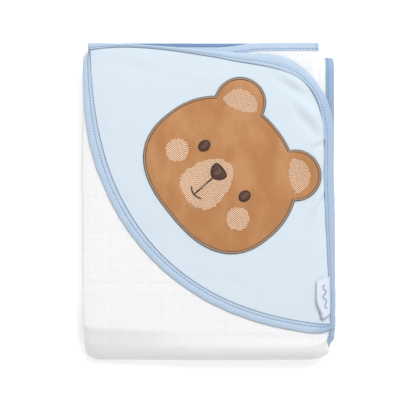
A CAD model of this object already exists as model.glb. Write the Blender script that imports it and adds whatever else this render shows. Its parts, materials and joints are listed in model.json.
"""Hooded baby towel, folded, with its hood on top: the looks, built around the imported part."""

import json
import math

import bmesh
import bpy
import numpy as np
from bpy.props import FloatProperty, FloatVectorProperty, IntProperty, PointerProperty
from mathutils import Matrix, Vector, noise


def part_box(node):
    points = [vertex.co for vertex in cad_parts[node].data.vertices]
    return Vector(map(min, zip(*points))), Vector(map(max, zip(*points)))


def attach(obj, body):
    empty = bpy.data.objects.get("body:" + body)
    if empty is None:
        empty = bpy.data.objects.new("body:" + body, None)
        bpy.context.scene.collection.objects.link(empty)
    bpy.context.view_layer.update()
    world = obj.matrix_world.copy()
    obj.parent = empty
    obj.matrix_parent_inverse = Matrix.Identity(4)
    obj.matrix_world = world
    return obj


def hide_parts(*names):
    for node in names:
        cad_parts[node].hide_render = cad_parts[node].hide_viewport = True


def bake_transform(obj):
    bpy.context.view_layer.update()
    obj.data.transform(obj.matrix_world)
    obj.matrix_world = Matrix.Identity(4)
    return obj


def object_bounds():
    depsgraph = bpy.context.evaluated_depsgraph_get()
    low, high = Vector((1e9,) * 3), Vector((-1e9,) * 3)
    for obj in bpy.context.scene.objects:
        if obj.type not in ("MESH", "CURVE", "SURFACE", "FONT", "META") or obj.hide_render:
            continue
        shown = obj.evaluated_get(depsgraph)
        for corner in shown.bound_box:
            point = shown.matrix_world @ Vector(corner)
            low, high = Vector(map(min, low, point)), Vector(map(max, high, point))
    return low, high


bl_info = {
    "name": "Hooded Baby Towel",
    "version": (1, 0, 0),
    "blender": (4, 5, 0),
    "location": "View3D > Sidebar > Towel",
    "description": "Builds a folded baby towel with a corner hood and an appliqued bear",
    "category": "Object",
}

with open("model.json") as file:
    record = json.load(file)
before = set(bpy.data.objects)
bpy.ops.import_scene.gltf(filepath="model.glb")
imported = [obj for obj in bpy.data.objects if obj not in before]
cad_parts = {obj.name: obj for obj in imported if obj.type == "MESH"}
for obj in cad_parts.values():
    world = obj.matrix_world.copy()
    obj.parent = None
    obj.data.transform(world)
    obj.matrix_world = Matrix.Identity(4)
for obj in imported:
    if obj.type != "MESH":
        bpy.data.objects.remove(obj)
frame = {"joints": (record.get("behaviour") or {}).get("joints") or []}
cad_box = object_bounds()

MM = 0.001


def node_box(name):
    """Lowest and highest corner of a node, in millimetres."""
    low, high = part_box(name)
    return low / MM, high / MM


# ---- the folded bundle, read from the frame; everything below is in millimetres ----

HALF_W = max(cad_box[1][0], -cad_box[0][0]) / MM
HALF_L = max(cad_box[1][1], -cad_box[0][1]) / MM
UNIT = HALF_W / 125
FRONT_LOW, FRONT_HIGH = node_box("towel_front_section")
TUCKED_LOW, TUCKED_HIGH = node_box("towel_tucked_section")
LABEL_LOW, LABEL_HIGH = node_box("side_label")
BACK_HIGH = node_box("towel_back_section")[1]
HOOD_TOP = node_box("hood_panel")[1].z

CLOTH_TOP = FRONT_HIGH.z
STACK = BACK_HIGH.z
PLY_CAD = CLOTH_TOP - node_box("binding_hood_edge")[0].z
PITCH = (STACK - PLY_CAD) / 2
TURN_R = PITCH / 2
INNER_H = PLY_CAD / 2
BOTTOM_Y = FRONT_LOW.y
BOTTOM_Z = CLOTH_TOP / 2
BOTTOM_R = BOTTOM_Z - STACK
TOP_Y = BACK_HIGH.y
TOP_Z = TUCKED_HIGH.z / 2
TOP_R = TOP_Z - STACK
INNER_X = -120 * UNIT
RIGHT_X = 110 * UNIT - PLY_CAD / 2 - TURN_R
LEFT_X = -HALF_W + PLY_CAD / 2 + TURN_R

# Lengths along the flat cloth, from its top edge down
FRONT_RUN = HALF_L - BOTTOM_Y
BOTTOM_RUN = math.pi * (BOTTOM_R + STACK / 2)
BACK_RUN = TOP_Y - BOTTOM_Y
TOP_RUN = math.pi * (TOP_R + STACK / 2)
TUCKED_RUN = TOP_Y - node_box("binding_foot_edge")[0].y
SEEN_RUN = FRONT_RUN + BOTTOM_RUN + BACK_RUN
HIDDEN_RUN = TOP_RUN + TUCKED_RUN

# Lengths across the flat cloth, from the inner ply's bound edge to the outer ply's
INNER_RUN = RIGHT_X - INNER_X
TURN_RUN = math.pi * TURN_R
MIDDLE_RUN = RIGHT_X - LEFT_X
OUTER_START = INNER_RUN + MIDDLE_RUN + 2 * TURN_RUN
CLOTH_W = OUTER_START + HALF_W - LEFT_X

# Free edge of the hood end, and the seam line of its binding, as chains of cubic curves
HOOD_EDGE = [
    [(-120, 158), (-60, 157), (0, 149), (55, 146.5)],
    [(55, 146.5), (95, 146), (125, 112), (125, 62)],
    [(125, 62), (125, 0), (125, -60), (125, -124)],
]
HOOD_SEAM = [
    [(-120, 150), (-80, 158), (-40, 150), (8, 143)],
    [(8, 143), (78, 128), (121, 143), (115.5, 30)],
    [(115.5, 30), (116, -30), (119, -70), (120, -124)],
]
OPENING_SEAM = [[(-118, 150), (-116, -5), (-44, -110), (122, -124)]]
OPENING_EDGE = [
    [(-117.5, 148.5), (-120.5, 148), (-124, 145), (-125, 137)],
    [(-125, 137), (-128.4, -2), (-50, -121), (122, -133)],
]

# The face's own frame: u across the face, v from chin to crown
FACE_AT = Vector((19.5, 33)) * UNIT
FACE_TURN = math.radians(-51.3)
HEAD_MID = -12
EARS = ((-43.5, 50.3), (48.1, 48.3))
EAR_PATCHES = ((-41.7, 48.5), (48.0, 47.1))

DITCH = 0.27  # where a tape's topstitch runs, as a share of its width from the seam
EDGE_STEP = 2.4  # distance from ring to ring of the edge binding and the tucked tapes
TAPE_STEP = 3.0  # the same for the other tapes
OPENING_STEP = 2.2  # the same for the hood's opening
FINE = 0.8  # distance between the points of a seam line
CLOTH_MARGIN = 1.5  # how far the cloth's edge stays inside its tape
SEAM_SPACING = 1.6 * MM
SEAM_STITCH = 1.9 * MM
PADDING = 0.8 * MM  # height of the padding under the eyes and the nose
RIBBON = 0.35 * MM  # thickness of the label's ribbon
LABEL_SEWN = 2  # how much of the label is inside the seam
LABEL_RISE = 4.5  # how far its sewn end starts up from its node's low end
LABEL_SLANT = 4.6  # how far its free fold hangs lower than its sewn end
FACE_RINGS = 34
BORDER_COUNT = 540  # places round the face's border

# The studio: each light's place in metres, power and size; the floor; the camera's view
LIGHTS = {
    "key_light": ((0.7, 1.4, 2.35), 60, 1.4),
    "fill_light": ((-1.4, -1.1, 2.2), 7, 2.0),
}
WORLD_STRENGTH = 0.68
FLOOR_GLOW = 0.2
FLOOR_HALF = 6.0
VIEW_AT = Vector((-8.5, 1.75, 30)) * MM
VIEW_FAR = 2.0
VIEW_WIDTH = 0.4
VIEW_TILT = math.radians(87)
SENSOR = 36

# How the bundle sags: depth at either side, where the front crease and the curl of the right
# corner start, and where the top end starts to loosen
RIGHT_SAG = 5.0
LEFT_SAG = 1.4
CREASE_Y = -129
CURL_Y = -149
TOP_LOOSE = 118

# Front corners: where the turn starts and ends across, its depth, how far it pulls in, and
# where along the bundle the rounding starts and how long it takes to grow
CORNERS = {"right": (98, 119, 13.5, 1, -116, 40), "left": (108, 126, 12, 2.2, -96, 60)}

# Wrinkles in the hood: middle x and y, direction, half length, half width, height
WRINKLES = [
    (87, 119, -33, 15, 4.5, 2.1),
    (81, 113, -33, 15, 3.6, -2.8),
    (101, 88, -48, 20, 4.5, 2.6),
    (95, 81, -50, 20, 3.2, -3.4),
    (85, 92, -44, 12, 4.0, 1.6),
    (112, 56.5, 28, 6, 1.5, -2.6),
    (109, 60, 30, 8, 2.2, 1.5),
    (111, -3, 66, 13, 1.7, -2.6),
    (106.5, -7, 68, 15, 2.8, 2.0),
    (103, 104, -58, 12, 3.0, -1.4),
    (-84, 0, -62, 24, 6.0, -0.9),
    (-60, -34, -50, 20, 5.0, -0.9),
    (-104, 60, -84, 26, 5.0, -0.6),
    (-70, 132, -12, 26, 5.0, -0.6),
    (30, -84, -28, 24, 6.0, -0.5),
    (-20, 128, -10, 18, 5.0, 0.5),
]


# ---- settings ----


def length(name, text, value, low=0.0, high=0.1):
    """A length property, given in millimetres."""
    return FloatProperty(
        name=name, description=text, default=value * MM, min=low, max=high,
        unit="LENGTH", precision=4,
    )


def colour(name, text, red, green, blue):
    """A colour property, given as display values from 0 to 255."""
    value = tuple(to_linear(c / 255) for c in (red, green, blue))
    return FloatVectorProperty(
        name=name, description=text, default=value, min=0, max=1, size=3, subtype="COLOR",
    )


def to_linear(c):
    return c / 12.92 if c <= 0.04045 else ((c + 0.055) / 1.055) ** 2.4


class TowelSizes(bpy.types.PropertyGroup):
    cloth_thickness: length("Cloth thickness", "Thickness of one ply of the towel", 3.0)
    cloth_step: length("Cloth step", "Size of one face of the cloth mesh", 4.5, 0.002)
    tape_width: length("Binding width", "Width of the tape on a plain edge", 8.5)
    tape_rise: length("Binding rise", "How far the tape stands over the hood", 0.8)
    hood_thickness: length("Hood thickness", "Thickness of the hood's cotton", 1.1)
    hood_puff: length("Hood puff", "How far the hood swells between its seams", 1.3)
    hood_step: length("Hood step", "Size of one face of the hood mesh", 2.2, 0.001)
    thread_width: length("Thread width", "Width of a topstitch thread", 0.95)
    stitch_spacing: length("Stitch spacing", "Distance from stitch to stitch", 3.1, 0.0005)
    stitch_length: length("Stitch length", "Visible length of a topstitch", 1.9)


class FaceSizes(bpy.types.PropertyGroup):
    head_width: length("Head width", "Half width of the head", 80)
    crown_height: length("Crown height", "From the head's middle up to its crown", 74.5)
    chin_height: length("Chin height", "From the head's middle down to its chin", 62)
    ear_radius: length("Ear radius", "Radius of an ear", 25.6)
    border_width: length("Border width", "Width of the satin border", 2.4)
    border_spacing: length("Border spacing", "Distance from thread to thread", 0.55, 0.0002)
    fill_column: length("Fill columns", "Distance between columns of fill stitches", 1.22, 0.0003)
    fill_row: length("Fill rows", "Distance between fill stitches in a column", 2.05, 0.0003)
    fill_length: length("Fill stitch", "Length of one fill stitch", 2.2)
    fill_width: length("Fill thread", "Width of one fill stitch", 0.84)
    seed: IntProperty(name="Seed", description="Seed of the uneven stitches", default=7)


class TowelColours(bpy.types.PropertyGroup):
    towelling: colour("Towelling", "White cloth of the towel", 229, 229, 230)
    hood: colour("Hood", "Knitted cotton of the hood", 200, 212, 221)
    binding: colour("Binding", "Bias tape round every edge", 176, 194, 214)
    topstitch: colour("Topstitch", "Thread along the bindings", 100, 126, 168)
    seam: colour("Seam", "Thread at the inner side of a binding", 92, 114, 144)
    velour: colour("Velour", "Brushed pile of the bear's head", 180, 130, 89)
    velour_dark: colour("Velour, dark nap", "Pile brushed the other way", 160, 109, 64)
    border: colour("Border", "Satin thread round the head", 166, 143, 124)
    border_dark: colour("Border, thread ends", "Where satin threads dive in", 72, 52, 40)
    fill: colour("Fill stitch", "Pale thread of cheeks, ears and muzzle", 243, 221, 198)
    dark: colour("Dark stitch", "Brown thread of eyes and nose", 84, 59, 51)
    outline: colour("Outline stitch", "Darker thread of outlines and mouth", 58, 37, 31)
    label: colour("Label", "Woven ribbon of the label", 200, 208, 219)
    mark: colour("Label mark", "Thread of the mark on the label", 77, 95, 127)
    floor: colour("Floor", "Plain surface under the towel", 250, 250, 250)


# ---- shape helpers ----


def part_of(value):
    """The value, kept between 0 and 1."""
    return min(1.0, max(0.0, value))


def smooth(k):
    k = part_of(k)
    return k * k * (3 - 2 * k)


def ripple(x, y, size, seed):
    """Soft noise from -1 to 1 with features about size across."""
    return noise.noise(Vector((x / size, y / size, seed * 7.3)))


def raised(z):
    """A step upwards of z metres."""
    return Vector((0, 0, z))


def round_off(share, depth):
    """How far a rounded corner pulls in, share of the way through its turn."""
    return depth * (1 - math.sqrt(1 - share * share))


def sag_edges(x, y, z, lift):
    """Lowers the right and left edges, and the front past its crease."""
    droop = max(0.0, (x - RIGHT_X) / (HALF_W - RIGHT_X))
    z -= RIGHT_SAG * min(1.2, droop) ** 2 * lift
    left = smooth((-96 * UNIT - x) / 30)
    z -= LEFT_SAG * left * left * lift
    crease = CREASE_Y * UNIT - 0.022 * x + 1.8 * ripple(x, 0, 45, 5)
    past = max(0.0, crease - y)
    tilt = 0.08 + 0.42 * smooth((-10 - x) / 90)
    z -= tilt * past * smooth(past / 3) * lift
    return z + 1.8 * smooth((-134 - y) / 14) * lift * smooth((x + 40) / 120)


def round_corners(x, y, z, lift):
    """Rounds the front corners, curls the right one under and turns the top left one in."""
    curl = smooth((CURL_Y * UNIT - y) / 8)
    side = "right" if x > 0 else "left"
    start, end, depth, inward, top, run = CORNERS[side]
    pull = smooth((top * UNIT - y) / run)
    corner = part_of((abs(x) - start * UNIT) / (end - start))
    y += round_off(corner, depth) * pull
    z -= 7 * max(0.0, (x - 112 * UNIT) / 13) ** 2 * curl * lift
    x += (4 * smooth((x - 100 * UNIT) / 16) - 0.9 * max(0.0, x - 116.5 * UNIT)) * curl
    x -= math.copysign(inward * corner * pull, x)
    turned = part_of((-112 * UNIT - x) / (HALF_W - 112 * UNIT + 0.5))
    under = smooth((CLOTH_TOP + 1 - z) / 1.5)
    y -= round_off(turned, 9) * smooth((y - TOP_LOOSE) / 30) * under
    return x, y, z


def settle(x, y, z):
    """The way the whole bundle sags and softens. Millimetres in, metres out."""
    lift = min(1.1, max(0.0, z / CLOTH_TOP))
    z = sag_edges(x, y, z, lift)
    x, y, z = round_corners(x, y, z, lift)
    x += 1.3 * smooth((x - 108) / 16) - 1.2 * smooth((-104 - x) / 16)
    y += (1.6 + 1.4 * (1 - min(1, lift))) * smooth((y - TOP_LOOSE) / 30)
    x += 0.9 * ripple(y, z * 2, 70, 1) * min(1, abs(x) / 60)
    y += 0.5 * ripple(x, z * 2, 80, 2)
    z += (0.7 * ripple(x, y, 75, 3) + 0.25 * ripple(x, y, 22, 4)) * lift
    return Vector((x, y, max(0.05, z))) * MM


def across(s):
    """Place across the fold of a point s along the cloth's width: x, and height in the stack."""
    if s <= INNER_RUN:
        return INNER_X + s, INNER_H
    s -= INNER_RUN
    if s <= TURN_RUN:
        a = s / TURN_R
        return RIGHT_X + TURN_R * math.sin(a), INNER_H + TURN_R * (1 - math.cos(a))
    s -= TURN_RUN
    if s <= MIDDLE_RUN:
        return RIGHT_X - s, INNER_H + PITCH
    s -= MIDDLE_RUN
    if s <= TURN_RUN:
        a = s / TURN_R
        return LEFT_X - TURN_R * math.sin(a), INNER_H + PITCH + TURN_R * (1 - math.cos(a))
    return LEFT_X + s - TURN_RUN, INNER_H + 2 * PITCH


def front_and_back(t, h):
    """y and z of a point t down the cloth from its top edge, h up in the stack."""
    if t <= FRONT_RUN:
        return HALF_L - t, CLOTH_TOP - STACK + h
    t -= FRONT_RUN
    if t <= BOTTOM_RUN:
        a = math.pi * t / BOTTOM_RUN
        r = BOTTOM_R + h
        return BOTTOM_Y - r * math.sin(a), BOTTOM_Z + r * math.cos(a)
    return BOTTOM_Y + t - BOTTOM_RUN, STACK - h


def tucked(t, h):
    """As front_and_back, for the third section, from the back section's end to the foot edge."""
    if t <= TOP_RUN:
        a = math.pi * t / TOP_RUN
        r = TOP_R + h
        return TOP_Y + r * math.sin(a), TOP_Z - r * math.cos(a)
    return TOP_Y - (t - TOP_RUN), TUCKED_LOW.z + h


def steps(start, stop, step):
    """Evenly spaced values from start to stop, about step apart, both ends kept."""
    count = max(1, round(abs(stop - start) / step))
    return [start + (stop - start) * i / count for i in range(count + 1)]


SEEN_STEPS = steps(0, SEEN_RUN, TAPE_STEP)
HIDDEN_STEPS = steps(0, HIDDEN_RUN, EDGE_STEP)


def joined(*runs):
    """Runs of values one after another, each joint kept once."""
    values = list(runs[0])
    for run in runs[1:]:
        values += run[1:]
    return values


def curve_points(curves, spacing):
    """Points about spacing apart along a chain of cubic curves, scaled to the bundle."""
    fine = []
    for p in curves:
        p = [Vector(q) * UNIT for q in p]
        for i in range(81):
            t = i / 80
            fine.append(
                p[0] * (1 - t) ** 3 + p[1] * 3 * t * (1 - t) ** 2
                + p[2] * 3 * t * t * (1 - t) + p[3] * t**3
            )
    return respaced(fine, spacing)


def respaced(points, spacing):
    """The same path with its points evenly spaced."""
    points = [p for i, p in enumerate(points) if i == 0 or (p - points[i - 1]).length > 1e-6]
    marks = [0.0]
    for a, b in zip(points, points[1:]):
        marks.append(marks[-1] + (b - a).length)
    result = []
    k = 0
    for want in steps(0, marks[-1], spacing):
        while k < len(marks) - 2 and marks[k + 1] < want:
            k += 1
        part = (want - marks[k]) / (marks[k + 1] - marks[k])
        result.append(points[k].lerp(points[k + 1], min(1, max(0, part))))
    return result


def nearest(points, target):
    """The place on a path that is nearest to target."""
    best = min(range(len(points)), key=lambda i: (points[i] - target).length_squared)
    return points[best]


def edge_y(edge, x):
    """Height of the hood's upper edge over x."""
    for a, b in zip(edge, edge[1:]):
        if a.x <= x <= b.x and b.x > a.x:
            return a.y + (b.y - a.y) * (x - a.x) / (b.x - a.x)
    return edge[0].y if x < edge[0].x else edge[-1].y


def make_object(name, verts, faces, material, uvs=None):
    """A smooth-shaded mesh object. uvs holds one pair per vertex, in metres."""
    mesh = bpy.data.meshes.new(name)
    mesh.from_pydata([tuple(v) for v in verts], [], faces)
    mesh.update()
    mesh.shade_smooth()
    if uvs is not None:
        layer = mesh.uv_layers.new(name="cloth")
        loops = np.zeros(len(mesh.loops), int)
        mesh.loops.foreach_get("vertex_index", loops)
        layer.data.foreach_set("uv", np.array(uvs, float)[loops].ravel())
    obj = bpy.data.objects.new(name, mesh)
    bpy.context.collection.objects.link(obj)
    if material:
        mesh.materials.append(material)
    return obj


def outward(obj):
    """Turns every face of a closed mesh outwards."""
    work = bmesh.new()
    work.from_mesh(obj.data)
    bmesh.ops.recalc_face_normals(work, faces=work.faces)
    work.to_mesh(obj.data)
    work.free()
    return obj


def band(a, b, n):
    """Faces between two closed rings of n points that start at a and b."""
    return [(a + j, b + j, b + (j + 1) % n, a + (j + 1) % n) for j in range(n)]


def skin(name, upper, lower, material, flat):
    """A closed sheet between two grids of points. flat gives each point's place on the cloth."""
    rows, cols = len(upper), len(upper[0])
    verts = [p for row in upper for p in row] + [p for row in lower for p in row]
    below = rows * cols
    faces = []
    for i in range(rows - 1):
        for j in range(cols - 1):
            a = i * cols + j
            faces.append((a, a + 1, a + cols + 1, a + cols))
            faces.append((below + a, below + a + cols, below + a + cols + 1, below + a + 1))
    rim = (
        [j for j in range(cols)] + [i * cols + cols - 1 for i in range(1, rows)]
        + [(rows - 1) * cols + j for j in range(cols - 2, -1, -1)]
        + [i * cols for i in range(rows - 2, 0, -1)]
    )
    for a, b in zip(rim, rim[1:] + rim[:1]):
        faces.append((a, below + a, below + b, b))
    flat = [q for row in flat for q in row]
    return outward(make_object(name, verts, faces, material, flat + flat))


def shell(name, grid, thickness, material, flat):
    """A closed sheet of even thickness round a grid of middle points."""
    mid = np.array([[tuple(p) for p in row] for row in grid])
    normal = np.cross(np.gradient(mid, axis=1), np.gradient(mid, axis=0))
    normal /= np.maximum(np.linalg.norm(normal, axis=2, keepdims=True), 1e-12)
    half = normal * thickness / 2
    return skin(name, (mid + half).tolist(), (mid - half).tolist(), material, flat)


def sweep(name, rings, material, closed=False, spacing=1.0):
    """A closed skin through rings of points, each ring a loop round the path."""
    sides = len(rings[0])
    count = len(rings)
    verts = [p for ring in rings for p in ring]
    uvs = [(i * spacing * MM, j / sides * 0.02) for i in range(count) for j in range(sides)]
    faces = []
    for i in range(count if closed else count - 1):
        faces += band(i * sides, (i + 1) % count * sides, sides)
    if not closed:
        faces.append(tuple(range(sides)))
        faces.append(tuple(range((count - 1) * sides, count * sides)))
    return outward(make_object(name, verts, faces, material, uvs))


def tape_section(w, top, bottom, rise, ditch):
    """Loop of a tape folded over an edge: distance from the seam, and height.

    ditch is where the topstitch pulls the tape down, as a share of its width.
    """
    flat_end = 0.82  # where the tape starts to turn round the edge
    rest = flat_end - ditch
    upper = [
        (0, 0.0), (0.012, 0.6), (0.05, 1.0), (0.5 * ditch, 1.0), (ditch - 0.06, 0.75),
        (ditch, 0.42), (ditch + 0.06, 0.75), (ditch + 0.3 * rest, 1.1),
        (ditch + 0.55 * rest, 1.2), (ditch + 0.78 * rest, 1.0), (flat_end, 0.5),
    ]
    loop = [(w * a, top + rise * b) for a, b in upper]
    middle = (top + bottom) / 2
    for k in range(1, 8):
        turn = math.pi * k / 8
        reach = w * (0.86 + 0.14 * math.sin(turn))
        loop.append((reach, middle + (top + 0.25 * rise - middle) * math.cos(turn)))
    lower = [(0.8, 0.35), (0.6, 0.5), (0.4, 0.5), (0.26, 0.15), (0.12, 0.45), (0.02, 0.35), (0, 0)]
    loop += [(w * a, bottom - rise * b) for a, b in lower]
    loop += [
        (0.05 * w, bottom + 0.12), (0.78 * w, bottom + 0.3),
        (0.78 * w, top - 0.3), (0.05 * w, top - 0.12),
    ]
    return loop


def hood_relief(x, y, calm=0.0):
    """How far the hood's cotton stands above its flat height. calm flattens its wrinkles."""
    height = 0.35 * ripple(x, y, 30, 11) + 0.12 * ripple(x, y, 11, 12)
    for wx, wy, direction, half_l, half_w, rise in WRINKLES:
        a = math.radians(direction)
        dx, dy = x - wx * UNIT, y - wy * UNIT
        along = (dx * math.cos(a) + dy * math.sin(a)) / half_l
        side = (dy * math.cos(a) - dx * math.sin(a)) / half_w
        height += rise * math.exp(-(along * along) - side * side)
    deepest = 1.8
    if height < 0:
        height = deepest * math.tanh(height / deepest)
    return height * (1 - calm)


# ---- face outline ----


def head_radius(angle, inset, sizes):
    """Distance from the head's middle to its edge, ears included, less inset."""
    c, s = math.cos(angle), math.sin(angle)
    height = sizes.crown_height if s >= 0 else sizes.chin_height
    power = 2.15 if s >= 0 else 2.5
    reach = (
        abs(c / (sizes.head_width / MM - inset)) ** power
        + abs(s / (height / MM - inset)) ** power
    ) ** (-1 / power)
    for ex, ey in EARS:
        ey -= HEAD_MID
        along = ex * c + ey * s
        off = ex * s - ey * c
        radius = sizes.ear_radius / MM - inset
        if abs(off) < radius and along > 0:
            reach = max(reach, along + math.sqrt(radius * radius - off * off))
    return reach


def head_angles(sizes, inset, count=360):
    """Angles round the head, with one on each inner corner between head and ear."""
    angles = [2 * math.pi * i / count for i in range(count)]
    fine = 40
    jumps = []
    for a in angles:
        r = [head_radius(a + k * 2 * math.pi / count, inset, sizes) for k in (-1, 0, 1)]
        if r[0] + r[2] - 2 * r[1] > 0.6:
            jumps.append(a)
    for a in jumps:
        near = [a + (k / fine - 1) * 2 * math.pi / count for k in range(2 * fine + 1)]
        low = min(near, key=lambda q: head_radius(q, inset, sizes))
        closest = min(range(len(angles)), key=lambda i: abs(angles[i] - low))
        angles[closest] = low
    return angles


def face_point(u, v):
    """Place on the bundle of a point in the face's own frame."""
    c, s = math.cos(FACE_TURN), math.sin(FACE_TURN)
    return FACE_AT.x + UNIT * (u * c - v * s), FACE_AT.y + UNIT * (u * s + v * c)


def rim_point(angle, inset, sizes, share=1.0):
    """Place on the bundle of a point share of the way out to the face's edge, less inset."""
    reach = head_radius(angle, inset, sizes) * share
    return face_point(reach * math.cos(angle), HEAD_MID + reach * math.sin(angle))


def face_share(x, y, sizes):
    """1 well inside the face, 0 well outside it."""
    dx, dy = (x - FACE_AT.x) / UNIT, (y - FACE_AT.y) / UNIT
    c, s = math.cos(FACE_TURN), math.sin(FACE_TURN)
    u, v = dx * c + dy * s, -dx * s + dy * c - HEAD_MID
    edge = head_radius(math.atan2(v, u), 0, sizes)
    return smooth((edge + 5 - math.hypot(u, v)) / 10)


def hood_height(x, y, sizes, towel):
    """Top of the hood's cotton, in millimetres."""
    calm = 0.8 * face_share(x, y, sizes)
    return HOOD_TOP + hood_relief(x, y, calm) + towel.hood_puff / MM * calm * 0.5


def loosened(inward):
    """How free the hood's cotton is to swell, at a distance from its sewn-in rim."""
    return smooth((inward - 2.5) / 5)


# ---- shader helpers ----


class Tree:
    """Adds nodes to a tree and joins them."""

    def __init__(self, tree):
        self.tree = tree

    def add(self, kind, values=None, **settings):
        node = self.tree.nodes.new(kind)
        for key, value in settings.items():
            setattr(node, key, value)
        for key, value in (values or {}).items():
            if isinstance(value, bpy.types.NodeSocket):
                self.tree.links.new(value, node.inputs[key])
            else:
                node.inputs[key].default_value = value
        return node

    def math(self, operation, *values):
        return self.add(
            "ShaderNodeMath", dict(enumerate(values)), operation=operation).outputs[0]

    def mix(self, factor, a, b):
        values = {"Factor": factor, "A": a, "B": b}
        return self.add("ShaderNodeMix", values, data_type="RGBA").outputs["Result"]

    def group(self, name, build, values):
        """Places a node group, which is built the first time that it is asked for."""
        tree = bpy.data.node_groups.get(name) or build()
        return self.add("ShaderNodeGroup", values, node_tree=tree)

    def join(self, source, target, name):
        self.tree.links.new(source, target.inputs[name])


def new_tree(name, kind, inputs, outputs):
    """A new node group, with its Tree, its inputs and its output node.

    inputs and outputs give the kind of socket for each name.
    """
    group = bpy.data.node_groups.new(name, kind)
    for way, sockets in (("INPUT", inputs), ("OUTPUT", outputs)):
        for label, socket in sockets.items():
            group.interface.new_socket(label, in_out=way, socket_type="NodeSocket" + socket)
    t = Tree(group)
    return t, t.add("NodeGroupInput").outputs, t.add("NodeGroupOutput")


def weave_group():
    """Crossing yarns: a height from 0 to 1."""
    t, given, out = new_tree(
        "Woven yarns", "ShaderNodeTree",
        {"Vector": "Vector", "Pitch": "Float", "Unevenness": "Float"}, {"Height": "Float"},
    )
    shift = t.math("MULTIPLY", noisy(t, given["Vector"], 180.0), given["Unevenness"])
    split = t.add("ShaderNodeSeparateXYZ", {0: given["Vector"]})
    waves = []
    for axis in (0, 1):
        turns = t.math("ADD", t.math("DIVIDE", split.outputs[axis], given["Pitch"]), shift)
        wave = t.math("SINE", t.math("MULTIPLY", turns, 2 * math.pi))
        waves.append(t.math("MULTIPLY_ADD", wave, 0.5, 0.5))
    t.join(t.math("MULTIPLY", *waves), out, "Height")
    return t.tree


def mottle_group():
    """A soft change of colour over a surface."""
    t, given, out = new_tree(
        "Soft mottle", "ShaderNodeTree",
        {"Vector": "Vector", "Light": "Color", "Dark": "Color", "Size": "Float",
         "Contrast": "Float"},
        {"Color": "Color"},
    )
    cloud = t.add("ShaderNodeTexNoise", {
        "Vector": given["Vector"], "Scale": t.math("DIVIDE", 1.0, given["Size"]),
        "Detail": 4.0, "Roughness": 0.55,
    })
    spread = t.math("SUBTRACT", cloud.outputs["Fac"], 0.5)
    spread = t.math("MULTIPLY", spread, given["Contrast"])
    mask = t.add("ShaderNodeMath", {0: spread, 1: 0.5}, operation="ADD", use_clamp=True)
    t.join(t.mix(mask.outputs[0], given["Dark"], given["Light"]), out, "Color")
    return t.tree


def material(name, build):
    """The named material, built the first time that it is asked for."""
    found = bpy.data.materials.get(name)
    if found:
        return found
    made = bpy.data.materials.new(name)
    made.use_nodes = True
    t = Tree(made.node_tree)
    build(t, made.node_tree.nodes["Principled BSDF"])
    return made


def rgba(value, factor=1.0):
    return (*[min(1.0, c * factor) for c in value], 1.0)


def ramp(t, value, start, stop):
    """0 at start, 1 at stop, smooth between them."""
    return t.add("ShaderNodeMapRange", {
        "Value": value, "From Min": start, "From Max": stop,
    }, interpolation_type="SMOOTHSTEP").outputs["Result"]


def object_place(t):
    return t.add("ShaderNodeTexCoord").outputs["Object"]


def cloth_place(t):
    """The place on the flat cloth, in metres."""
    return t.add("ShaderNodeUVMap", uv_map="cloth").outputs["UV"]


def finish_cloth(t, shader, base, relief, roughness, sheen=0.0, strength=1.0):
    """Joins a cloth's colour and its relief, a height and its depth in metres, to its shader."""
    t.join(base, shader, "Base Color")
    node = t.add("ShaderNodeBump", {
        "Height": relief[0], "Distance": relief[1], "Strength": strength,
    })
    t.join(node.outputs["Normal"], shader, "Normal")
    for name, value in (("Roughness", roughness), ("Specular IOR Level", 0.25),
                        ("Sheen Weight", sheen), ("Sheen Roughness", 0.5)):
        shader.inputs[name].default_value = value


def mottled(t, vector, light, dark, size, contrast):
    return t.group("Soft mottle", mottle_group, {
        "Vector": vector, "Light": light, "Dark": dark, "Size": size, "Contrast": contrast,
    }).outputs["Color"]


def woven(t, vector, pitch, unevenness):
    return t.group("Woven yarns", weave_group, {
        "Vector": vector, "Pitch": pitch, "Unevenness": unevenness,
    }).outputs["Height"]


def noisy(t, vector, scale, detail=2.0):
    return t.add("ShaderNodeTexNoise", {
        "Vector": vector, "Scale": scale, "Detail": detail,
    }).outputs["Fac"]


def turned_by(t, vector, angle, scale=(1.0, 1.0, 1.0)):
    return t.add("ShaderNodeMapping", {
        "Vector": vector, "Rotation": (0, 0, angle), "Scale": scale,
    }).outputs[0]


def towelling_material():
    value = bpy.context.scene.towel_colours.towelling
    check, check_line = 0.0063, 0.0004  # half the muslin's square, and half a line's width

    def build(t, shader):
        flat = cloth_place(t)
        base = mottled(t, flat, rgba(value), rgba(value, 0.985), 0.05, 1.2)
        split = t.add("ShaderNodeSeparateXYZ", {0: flat})
        lines = t.math("MAXIMUM", *(
            t.math("LESS_THAN", t.math("PINGPONG", split.outputs[axis], check), check_line)
            for axis in (0, 1)
        ))
        lines = t.math("MULTIPLY", lines, t.math("GREATER_THAN", noisy(t, flat, 60.0, 1.0), 0.5))
        base = t.mix(t.math("MULTIPLY", lines, 0.22), base, rgba(value, 0.9))
        yarns = woven(t, flat, 0.0011, 0.8)
        height = t.math("MULTIPLY_ADD", noisy(t, flat, 260.0, 3.0), 1.4, yarns)
        height = t.math("SUBTRACT", height, t.math("MULTIPLY", lines, 0.25))
        finish_cloth(t, shader, base, (height, 0.00028), 0.95, 0.15)

    return material("muslin_towelling", build)


def hood_material():
    value = bpy.context.scene.towel_colours.hood

    def build(t, shader):
        place = object_place(t)
        base = mottled(t, place, rgba(value), rgba(value, 0.965), 0.045, 1.3)
        knit = woven(t, turned_by(t, place, FACE_TURN), 0.00085, 0.5)
        finish_cloth(t, shader, base, (knit, 0.00016), 0.9, 0.1)

    return material("hood_knit", build)


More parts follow.
